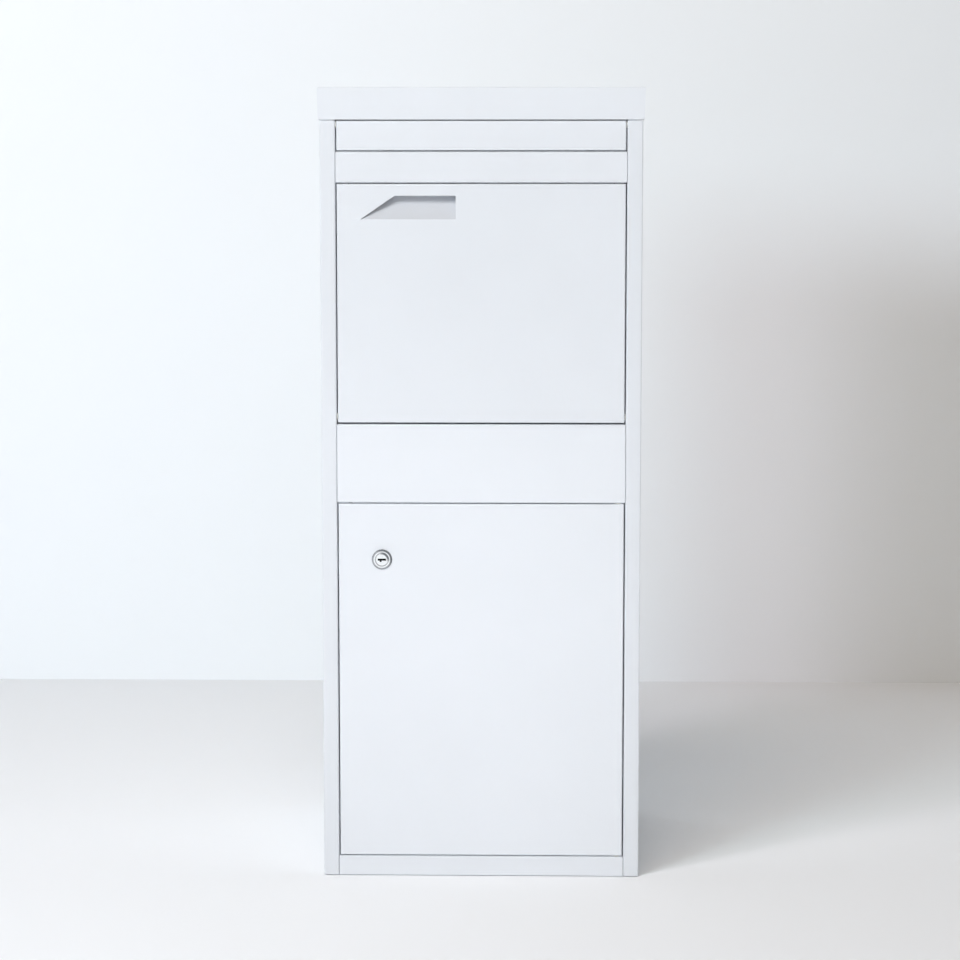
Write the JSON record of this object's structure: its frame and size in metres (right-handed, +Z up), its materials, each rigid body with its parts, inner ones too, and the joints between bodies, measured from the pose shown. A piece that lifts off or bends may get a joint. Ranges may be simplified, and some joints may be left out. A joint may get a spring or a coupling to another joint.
{
  "type": "parcel drop box",
  "caption": "Free-standing sheet-steel parcel drop box with a letter flap, a tilting parcel hopper and a lockable collection door.",
  "frame": {"origin": "middle of the box's footprint on the floor, at the centre of its overall width and depth", "axes": "+X to the right as seen from the front, +Y from the front to the back, +Z up"},
  "size_m": [0.4274, 0.3849, 1.05],
  "materials": {
    "powder_coat": "white powder coat, fine texture, satin",
    "zinc": "bright zinc plating",
    "nickel": "nickel-plated, polished",
    "nylon": "natural white nylon",
    "rubber": "matt black rubber"
  },
  "bodies": {
    "cabinet": {"side_panel_left": "powder_coat", "side_panel_right": "powder_coat", "back_panel": "powder_coat", "base_pan": "powder_coat", "roof_cap": "powder_coat", "header_rail": "powder_coat", "upper_rail": "powder_coat", "middle_panel": "powder_coat", "lower_rail": "powder_coat", "letter_chute": "powder_coat", "drop_baffle": "powder_coat", "lock_keeper": "zinc", "cap_nut_front_left": "zinc", "cap_nut_front_right": "zinc", "cap_nut_rear_left": "zinc", "cap_nut_rear_right": "zinc", "letter_flap_bush_left": "nylon", "letter_flap_bush_right": "nylon", "hopper_bush_left": "nylon", "hopper_bush_right": "nylon", "door_bush_top": "nylon", "door_bush_bottom": "nylon", "hopper_stop_buffer_left": "rubber", "hopper_stop_buffer_right": "rubber", "hopper_closing_buffer_left": "rubber", "hopper_closing_buffer_right": "rubber", "door_buffer_top": "rubber", "door_buffer_bottom": "rubber"},
    "letter_flap": {"letter_flap": "powder_coat", "letter_flap_weight": "zinc", "letter_flap_pin_left": "zinc", "letter_flap_pin_right": "zinc"},
    "hopper": {"hopper_front": "powder_coat", "handle_pocket": "powder_coat", "hopper_cheek_left": "powder_coat", "hopper_cheek_right": "powder_coat", "hopper_tray": "powder_coat", "hopper_pin_left": "zinc", "hopper_pin_right": "zinc"},
    "door": {"door_panel": "powder_coat", "door_pin_top": "zinc", "door_pin_bottom": "zinc", "lock_body": "nickel", "lock_nut": "zinc"},
    "lock": {"lock_plug": "nickel", "lock_cam": "zinc", "cam_screw": "zinc"}
  },
  "joints": [
    {"name": "letter_flap_pivot", "type": "hinge", "parent": "cabinet", "child": "letter_flap", "pos_m": [0, -0.1825, 1.0019], "axis": [1, 0, 0], "range_deg": [0, 65]},
    {"name": "hopper_pivot", "type": "hinge", "parent": "cabinet", "child": "hopper", "pos_m": [0, -0.1825, 0.6199], "axis": [1, 0, 0], "range_deg": [0, 48]},
    {"name": "door_hinge", "type": "hinge", "parent": "cabinet", "child": "door", "pos_m": [0.181, -0.1825, 0.266], "axis": [0, 0, 1], "range_deg": [0, 105]},
    {"name": "lock_turn", "type": "hinge", "parent": "door", "child": "lock", "pos_m": [-0.1315, -0.1825, 0.4298], "axis": [0, 1, 0], "range_deg": [0, 90]}
  ]
}
